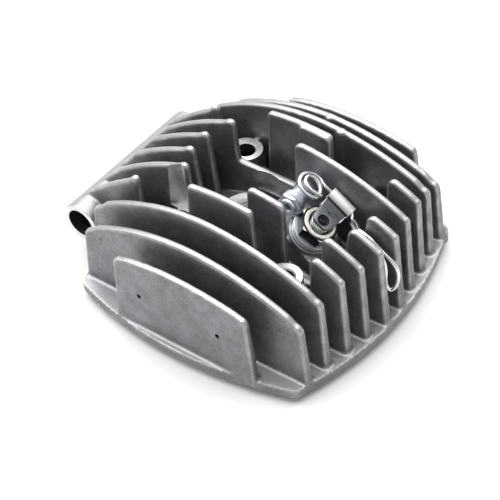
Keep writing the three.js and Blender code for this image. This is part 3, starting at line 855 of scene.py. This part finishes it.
def lever_plate():
    """A plate whose far end curls up into the rolled eye."""
    seam = math.radians(70)
    curl = [(EYE_Y + EYE_R * math.sin(a), EYE_Z - EYE_R * math.cos(a))
            for a in (i * (2 * math.pi - seam) / 28 for i in range(29))]
    inner = EYE_R - LEVER_T
    back = [(EYE_Y + inner * math.sin(a), EYE_Z - inner * math.cos(a))
            for a in ((28 - i) * (2 * math.pi - seam) / 28 for i in range(29))]
    side = [(4.0, LEVER_Z)] + curl + back + [(4.0, LEVER_Z + LEVER_T)]
    n = len(side)
    verts = [(-EYE_HALF, y, z) for y, z in side] + [(EYE_HALF, y, z) for y, z in side]
    faces = [list(range(n)), list(range(2 * n - 1, n - 1, -1))]
    faces += [[i, i + n, (i + 1) % n + n, (i + 1) % n] for i in range(n)]
    roll = bevelled(fix_normals(mesh_from("roll", verts, faces)), 0.12, 2, 40)
    outline = [(-2.2, -2.3), (2.2, -2.3), (3.2, -1.8), (3.7, -0.8), (4.4, 7.5), (EYE_HALF, EYE_Y - EYE_R),
               (EYE_HALF, EYE_Y - 0.2), (-EYE_HALF, EYE_Y - 0.2), (-EYE_HALF, EYE_Y - EYE_R), (-4.4, 7.5),
               (-3.7, -0.8), (-3.2, -1.8)]
    plate = prism("plate", outline, LEVER_Z, LEVER_Z + LEVER_T)
    # The rolled eye takes the second slot, a near-white painted highlight.
    body = combine("lever_plate_looks", paint(bevelled(plate, 0.12, 2), 0), [paint(roll, 1)], "UNION")
    cuts = [prism("trim", [(end * 4.4, -3), (end * 9, -3), (end * 9, 7.4), (end * 4.4, 7.4)], 0, 20)
            for end in (-1, 1)]
    cuts.append(rod("stem_hole", 2.1, 0, 20, 48))
    cuts.append(moved(rod("dimple", 0.8, LEVER_Z + 0.3, 20, 32), Matrix.Translation((-0.2, 3.3, 0))))
    body = combine("lever_plate_looks", body, cuts)
    return piece("lever_plate_looks", moved(body, VALVE_FRAME), "stem", ["lever_plate"],
                 [GREY_STEEL, ROLL_PAINTED_HIGHLIGHT])


# The finger loop of nearly two turns and the run through the eye, in the valve's frame.
LOOP_POINTS = [
    (-6.35, 4.3, 12.0), (-8.9, 3.4, 11.9), (-11.3, 3.3, 11.8), (-13.1, 4.3, 11.6), (-13.7, 6.2, 11.4),
    (-12.9, 7.9, 11.2), (-11.6, 8.4, 11.1), (-10.1, 8.2, 11.0), (-8.3, 7.3, 10.8), (-6.9, 5.4, 10.6),
    (-7.3, 3.0, 10.5), (-9.8, 2.0, 10.4), (-12.3, 1.9, 10.4), (-14.4, 3.2, 10.4), (-15.3, 5.5, 10.4),
    (-14.7, 8.0, 10.4), (-12.7, 9.8, 10.4), (-10.4, 10.1, 10.4), (-7.8, 9.4, 10.5), (-6.2, 9.5, 10.55),
    (-4.6, EYE_Y, EYE_Z), (0, EYE_Y, EYE_Z), (4.6, EYE_Y, EYE_Z),
]
# The two strands down to the hairpin bend between the fins, from the cylinder axis.
STRAND_POINTS = [
    (30.4, 8.0, 30.8), (32.6, 6.6, 31.4), (34.9, 4.2, 32.7), (36.5, 2.5, 33.6), (38.4, 1.7, 33.9),
    (41.9, 1.1, 33.4), (45.5, 1.0, 30.9), (48.7, 0.9, 28.9), (50.9, 0.9, 27.2), (52.3, 0.9, 24.8),
    (52.5, 0.9, 21.3), (51.6, 0.6, 17.4), (50.3, 0.0, 15.9), (49.3, -0.7, 17.6), (49.0, -1.0, 20.8),
    (49.0, -1.0, 25.0), (48.2, -1.0, 28.6), (46.1, -0.9, 31.4), (42.1, -0.5, 33.9), (38.9, 0.1, 35.2),
    (36.2, 1.0, 34.6), (33.6, 3.4, 33.0), (31.2, 5.8, 31.0),
]


def pull_wire():
    points = [VALVE_FRAME @ Vector(p) for p in LOOP_POINTS] + [Vector(p) for p in STRAND_POINTS]
    mesh = swept("pull_wire_looks", catmull(points, 6), WIRE_R + 0.04, 16)
    return piece("pull_wire_looks", mesh, "wire", ["pull_wire"], [WIRE])


# ---------------------------------------------------------------- stage, light, camera
def stage():
    size = 3.0
    verts = [(-size, -size, -0.0004), (size, -size, -0.0004), (size, size, -0.0004), (-size, size, -0.0004)]
    floor = new_object("floor", mesh_from("floor", verts, [[0, 1, 2, 3]]))
    n = Nodes("floor")
    n.finish((0.82, 0.82, 0.82, 1.0), 0.8, 0.0)
    floor.data.materials.append(n.material)
    world = bpy.data.worlds.new("studio")
    bpy.context.scene.world = world
    world.use_nodes = True
    background = world.node_tree.nodes["Background"]
    background.inputs["Color"].default_value = (1.0, 1.0, 1.0, 1.0)
    background.inputs["Strength"].default_value = 0.64
    bpy.context.scene.view_settings.view_transform = "Standard"


def area_light(name, azimuth, elevation, distance, size, power):
    """A soft panel aimed at the middle of the head; azimuth is measured like the camera's."""
    light = bpy.data.lights.new(name, "AREA")
    light.shape = "RECTANGLE"
    light.size, light.size_y = size
    light.energy = power
    obj = bpy.data.objects.new(name, light)
    bpy.context.scene.collection.objects.link(obj)
    direction = towards(azimuth, elevation)
    obj.location = Vector((0, 0, 0.02)) + direction * distance
    obj.rotation_euler = (-direction).to_track_quat("-Z", "Y").to_euler()


def towards(azimuth, elevation):
    a, e = math.radians(azimuth), math.radians(elevation)
    return Vector((math.sin(a) * math.cos(e), -math.cos(a) * math.cos(e), math.sin(e)))


# Focal length as a multiple of the frame's width.
CAMERA_FOCAL_WIDTHS = 3.1644


def camera():
    azimuth, elevation, roll, distance = 39.83, 43.59, math.radians(-4.7), 0.532
    back = towards(azimuth, elevation)
    right = Vector((math.cos(math.radians(azimuth)), math.sin(math.radians(azimuth)), 0))
    up = back.cross(right)
    right, up = (right * math.cos(roll) + up * math.sin(roll), -right * math.sin(roll) + up * math.cos(roll))
    target = Vector((AXIS_X * MM, 0, 0.0205)) + right * -0.00492 + up * -0.00942
    data = bpy.data.cameras.new("camera")
    data.sensor_width = 36.0
    data.lens = CAMERA_FOCAL_WIDTHS * data.sensor_width
    data.clip_start, data.clip_end = 0.01, 20.0
    obj = bpy.data.objects.new("camera", data)
    bpy.context.scene.collection.objects.link(obj)
    turn = Matrix((right, up, back)).transposed().to_4x4()
    obj.matrix_world = Matrix.Translation(target + back * distance) @ turn
    bpy.context.scene.camera = obj


camera()
stage()
area_light("key", 215, 70, 0.9, (1.4, 1.4), 17)
area_light("left_fill", -62, 35, 0.8, (0.6, 0.5), 2.2)

head_casting()
valve_body()
sealing_washer()
cable_bracket()
adjuster_barrel()
adjuster_locknut()
return_spring()
spring_retainer()
valve_stem()
stem_nut()
lever_plate()
pull_wire()
